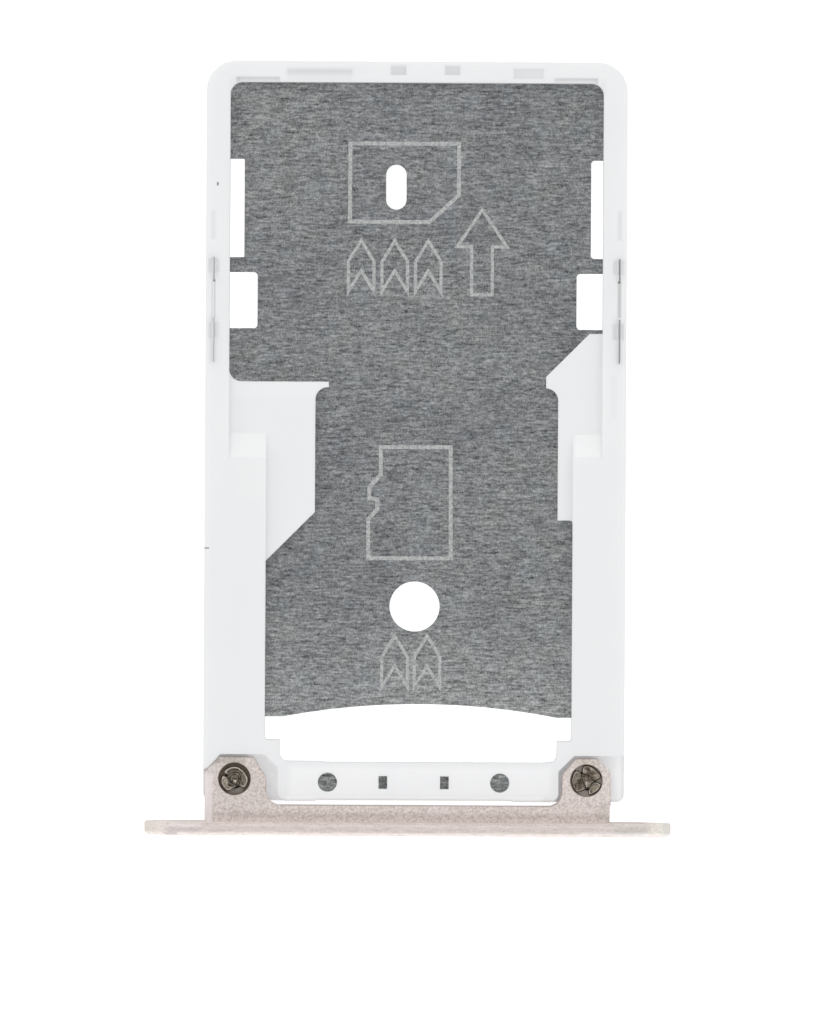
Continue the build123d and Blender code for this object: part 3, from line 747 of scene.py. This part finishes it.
# Head, shank and hollow are turned as one, with the rolled petals on top. Petals are outlines from the
# rivet's middle, glints (place, half size), steps (inset, rise, finish) and the top (radius, height)
rivets = {
    "left": {
        "node": "left_rivet", "glintHeight": 1.76,
        "petals": [
            [(-0.437, 0.271), (-0.335, 0.381), (-0.2, 0.461), (-0.014, 0.503), (0.173, 0.471),
             (0.342, 0.347), (0.461, 0.195), (0.537, 0.051), (0.554, -0.068), (0.512, -0.22),
             (0.427, -0.364), (0.325, -0.339), (0.173, -0.28), (0.207, -0.152), (0.266, -0.034),
             (0.241, 0.119), (0.156, 0.229), (0.02, 0.271), (-0.115, 0.237), (-0.208, 0.136),
             (-0.335, 0.178)],
            [(-0.479, 0.119), (-0.539, 0.0), (-0.539, -0.152), (-0.488, -0.288), (-0.395, -0.407),
             (-0.276, -0.483), (-0.166, -0.466), (-0.073, -0.398), (0.08, -0.339), (0.105, -0.254),
             (-0.047, -0.212), (-0.166, -0.152), (-0.225, -0.034), (-0.251, 0.059), (-0.352, 0.093)],
        ],
        "glints": [((0.037, -0.10), (0.070, 0.045)), ((-0.03, -0.05), (0.030, 0.030))],
        "steps": [
            (0.012, 0.022, "shade"), (0.014, 0.014, "rim"), (0.042, 0.006, "rim"), (0.022, -0.012, "skin")],
        "top": [
            (0.345, 1.78), (0.30, 1.825), (0.245, 1.85), (0.205, 1.85), (0.185, 1.83), (0.165, 1.79),
            (0.13, 1.77), (0.0, 1.76)],
    },
    "right": {
        "node": "right_rivet", "glintHeight": 1.862,
        "petals": [
            [(-0.144, 0.576), (-0.068, 0.61), (0.051, 0.618), (0.22, 0.568), (0.39, 0.449), (0.525, 0.305),
             (0.606, 0.195), (0.593, 0.127), (0.491, 0.059), (0.39, 0.0), (0.288, 0.0), (0.186, 0.068),
             (0.102, 0.186), (-0.034, 0.237), (-0.161, 0.254), (-0.186, 0.356), (-0.169, 0.474)],
            [(0.432, -0.051), (0.525, -0.102), (0.61, -0.152), (0.59, -0.254), (0.491, -0.398),
             (0.339, -0.517), (0.152, -0.606), (0.102, -0.576), (0.068, -0.474), (0.076, -0.373),
             (0.144, -0.237), (0.203, -0.119), (0.305, -0.051)],
            [(-0.432, 0.415), (-0.517, 0.322), (-0.584, 0.169), (-0.61, 0.0), (-0.584, -0.169),
             (-0.517, -0.339), (-0.424, -0.466), (-0.356, -0.483), (-0.237, -0.449), (-0.102, -0.398),
             (0.0, -0.373), (-0.034, -0.237), (-0.102, -0.102), (-0.144, 0.034), (-0.169, 0.169),
             (-0.212, 0.288), (-0.322, 0.381)],
        ],
        "glints": [((0.0, -0.11), (0.026, 0.085)), ((0.01, -0.225), (0.050, 0.026))],
        "steps": [
            (0.038, 0.026, "shade"), (0.014, 0.010, "rim"), (0.010, 0.006, "rim"), (0.006, -0.004, "skin")],
        "top": [
            (0.35, 1.80), (0.31, 1.86), (0.27, 1.872), (0.20, 1.868), (0.15, 1.85), (0.08, 1.838),
            (0.0, 1.835)],
    },
}
rivetBuild = {
    "petalFoot": 1.655, "petalStem": 0.225,
    "glintHalfHeight": 0.04, "glintSegments": 16, "glintRings": 8,
    "turnSteps": 40, "mergeWithin": 0.0005, "smoothAngle": 40,
}
turnedRivet = [(0.0, 0.78), (0.57, 0.78), (0.60, 0.81), (0.60, 0.95), (0.36, 0.95), (0.36, 1.70)]


# A profile of (radius, height) spun about an upright axis
def turnPiece(name, profile, centre):
    points = [Vector((centre[0] + radius, centre[1], height)) for radius, height in profile]
    piece = drawLine(name, points)
    bpy.ops.mesh.spin(steps=rivetBuild["turnSteps"], angle=math.tau, center=(*centre, 0), axis=(0, 0, 1))
    bpy.ops.mesh.select_all(action="SELECT")
    bpy.ops.mesh.remove_doubles(threshold=rivetBuild["mergeWithin"])
    alignNormals()
    bpy.ops.object.mode_set(mode="OBJECT")
    return piece


def addRivetFinishes(piece):
    for material in rivetFinishes.values():
        piece.data.materials.append(material)


# In edit mode: the selected faces get one of the rivet's finishes
def assignFinish(piece, finish):
    piece.active_material_index = rivetSlots[finish]
    bpy.ops.object.material_slot_assign()


# Each petal rises from its outline in painted shade, rolls over a rim with a painted highlight and sinks
# towards its middle
def makePetal(name, outline, centre, steps):
    foot = rivetBuild["petalFoot"]
    piece = drawFace(name, [Vector((centre[0] + x, centre[1] + y, foot)) for x, y in outline])
    addRivetFinishes(piece)
    assignFinish(piece, "shade")
    bpy.ops.mesh.extrude_region_move(TRANSFORM_OT_translate={"value": (0, 0, rivetBuild["petalStem"])})
    for inset, rise, finish in steps:
        assignFinish(piece, finish)
        bpy.ops.mesh.inset(thickness=inset, depth=rise, use_even_offset=True)
    alignNormals()
    bpy.ops.object.mode_set(mode="OBJECT")
    return piece


# A painted glint: a bright bead, pressed flat
def makeGlint(name, at, half, centre, height):
    startFresh()
    place = (centre[0] + at[0], centre[1] + at[1], height)
    around, down = rivetBuild["glintSegments"], rivetBuild["glintRings"]
    bpy.ops.mesh.primitive_uv_sphere_add(segments=around, ring_count=down, radius=1, location=place)
    piece = bpy.context.object
    piece.name = name
    addRivetFinishes(piece)
    bpy.ops.object.mode_set(mode="EDIT")
    bpy.ops.mesh.select_all(action="SELECT")
    bpy.ops.transform.resize(value=(*half, rivetBuild["glintHalfHeight"]), center_override=place)
    assignFinish(piece, "glint")
    bpy.ops.object.mode_set(mode="OBJECT")
    return piece


def makeRivet(side):
    look = rivets[side]
    centre = rivetCentres[side]
    body = turnPiece(f"{side}RivetBody", turnedRivet + look["top"], centre)
    addRivetFinishes(body)
    parts = [body]
    for number, outline in enumerate(look["petals"], 1):
        parts.append(makePetal(f"{side}Petal{number}", outline, centre, look["steps"]))
    for number, (at, half) in enumerate(look["glints"], 1):
        parts.append(makeGlint(f"{side}Glint{number}", at, half, centre, look["glintHeight"]))
    startFresh()
    for part in parts:
        part.select_set(True)
    bpy.context.view_layer.objects.active = body
    bpy.ops.object.join()
    rivet = settle(body, rivetBuild["smoothAngle"])
    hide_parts(look["node"])


for side in rivets:
    makeRivet(side)
print("rivets done")


# Floor and sky, in metres
stageLook = {
    "floorSize": 3.0, "floorDrop": 0.00002, "floorColour": (0.80, 0.80, 0.80),
    "floorGlow": 0.82, "floorGlowInMetal": 0.25,
    "horizon": 1.34, "zenith": 1.02, "horizonEnds": 0.35, "zenithStarts": 0.85, "skyForCamera": 1.0,
}


# The floor glows for the camera, so that it shows white, and less in what the metal mirrors
def makeFloor():
    look = stageLook
    startFresh()
    bpy.ops.mesh.primitive_plane_add(size=look["floorSize"], location=(0, 0, -look["floorDrop"]))
    floor = bpy.context.object
    floor.name = "floor"
    material = bpy.data.materials.new("paleFloor")
    material.use_nodes = True
    tree = material.node_tree
    tree.nodes.clear()
    output = tree.nodes.new("ShaderNodeOutputMaterial")
    paint = tree.nodes.new("ShaderNodeBsdfDiffuse")
    paint.inputs["Color"].default_value = (*look["floorColour"], 1)
    glow = tree.nodes.new("ShaderNodeEmission")
    rays = tree.nodes.new("ShaderNodeLightPath")
    cameraRay, clearRay = rays.outputs["Is Camera Ray"], rays.outputs["Is Transmission Ray"]
    seen = mathNode(tree, "ADD", cameraRay, clearRay, clamp=True)
    seen = mathNode(tree, "MULTIPLY", seen, look["floorGlow"])
    mirrored = mathNode(tree, "MULTIPLY", rays.outputs["Is Glossy Ray"], look["floorGlowInMetal"])
    tree.links.new(mathNode(tree, "ADD", seen, mirrored), glow.inputs["Strength"])
    both = tree.nodes.new("ShaderNodeAddShader")
    tree.links.new(paint.outputs[0], both.inputs[0])
    tree.links.new(glow.outputs[0], both.inputs[1])
    tree.links.new(both.outputs[0], output.inputs["Surface"])
    floor.data.materials.append(material)


# Brighter towards the horizon than overhead, and plain white for the camera
def makeSky():
    look = stageLook
    world = bpy.data.worlds.new("studio")
    bpy.context.scene.world = world
    world.use_nodes = True
    tree = world.node_tree
    tree.nodes.clear()
    output = tree.nodes.new("ShaderNodeOutputWorld")
    sky = tree.nodes.new("ShaderNodeBackground")
    rays = tree.nodes.new("ShaderNodeLightPath")
    coords = tree.nodes.new("ShaderNodeTexCoord")
    split = tree.nodes.new("ShaderNodeSeparateXYZ")
    tree.links.new(coords.outputs["Generated"], split.inputs[0])
    light = rangeNode(tree, split.outputs["Z"], look["horizonEnds"], look["zenithStarts"],
                      look["horizon"], look["zenith"])
    mixer = tree.nodes.new("ShaderNodeMix")
    tree.links.new(rays.outputs["Is Camera Ray"], mixer.inputs["Factor"])
    tree.links.new(light, mixer.inputs["A"])
    mixer.inputs["B"].default_value = look["skyForCamera"]
    tree.links.new(mixer.outputs["Result"], sky.inputs["Strength"])
    tree.links.new(sky.outputs[0], output.inputs["Surface"])


# Two soft panels aimed at the middle of the tray, placed in metres
lamps = {
    "keyPanel": {"at": (-0.16, 0.22, 0.42), "size": 0.30, "power": 0.16},
    "fillPanel": {"at": (0.25, -0.20, 0.35), "size": 0.30, "power": 0.08},
}


def makeLamps():
    for name, look in lamps.items():
        startFresh()
        bpy.ops.object.light_add(type="AREA", location=look["at"])
        lamp = bpy.context.object
        lamp.name = name
        lamp.data.size = look["size"]
        lamp.data.energy = look["power"]
        lamp.rotation_euler = (-Vector(look["at"])).to_track_quat("-Z", "Y").to_euler()


# Straight above and leaning a little, in millimetres and degrees; nearest and furthest are in metres
cameraLook = {
    "at": (0.014, -2.571), "height": 500.0, "level": 1.5, "viewHeight": 41.636, "lean": 0.31,
    "sensor": 36.0, "nearest": 0.01, "furthest": 10.0,
}


def makeCamera():
    look = cameraLook
    data = bpy.data.cameras.new("overhead")
    camera = bpy.data.objects.new("overhead", data)
    bpy.context.scene.collection.objects.link(camera)
    data.sensor_width = look["sensor"]
    data.lens = look["sensor"] * look["height"] / look["viewHeight"]
    data.clip_start, data.clip_end = look["nearest"], look["furthest"]
    camera.location = (look["at"][0] * mm, look["at"][1] * mm, (look["height"] + look["level"]) * mm)
    camera.rotation_euler = (0, 0, math.radians(look["lean"]))
    bpy.context.scene.camera = camera


makeFloor()
makeSky()
makeLamps()
makeCamera()
bpy.context.scene.view_settings.view_transform = "Standard"
print("stage done")
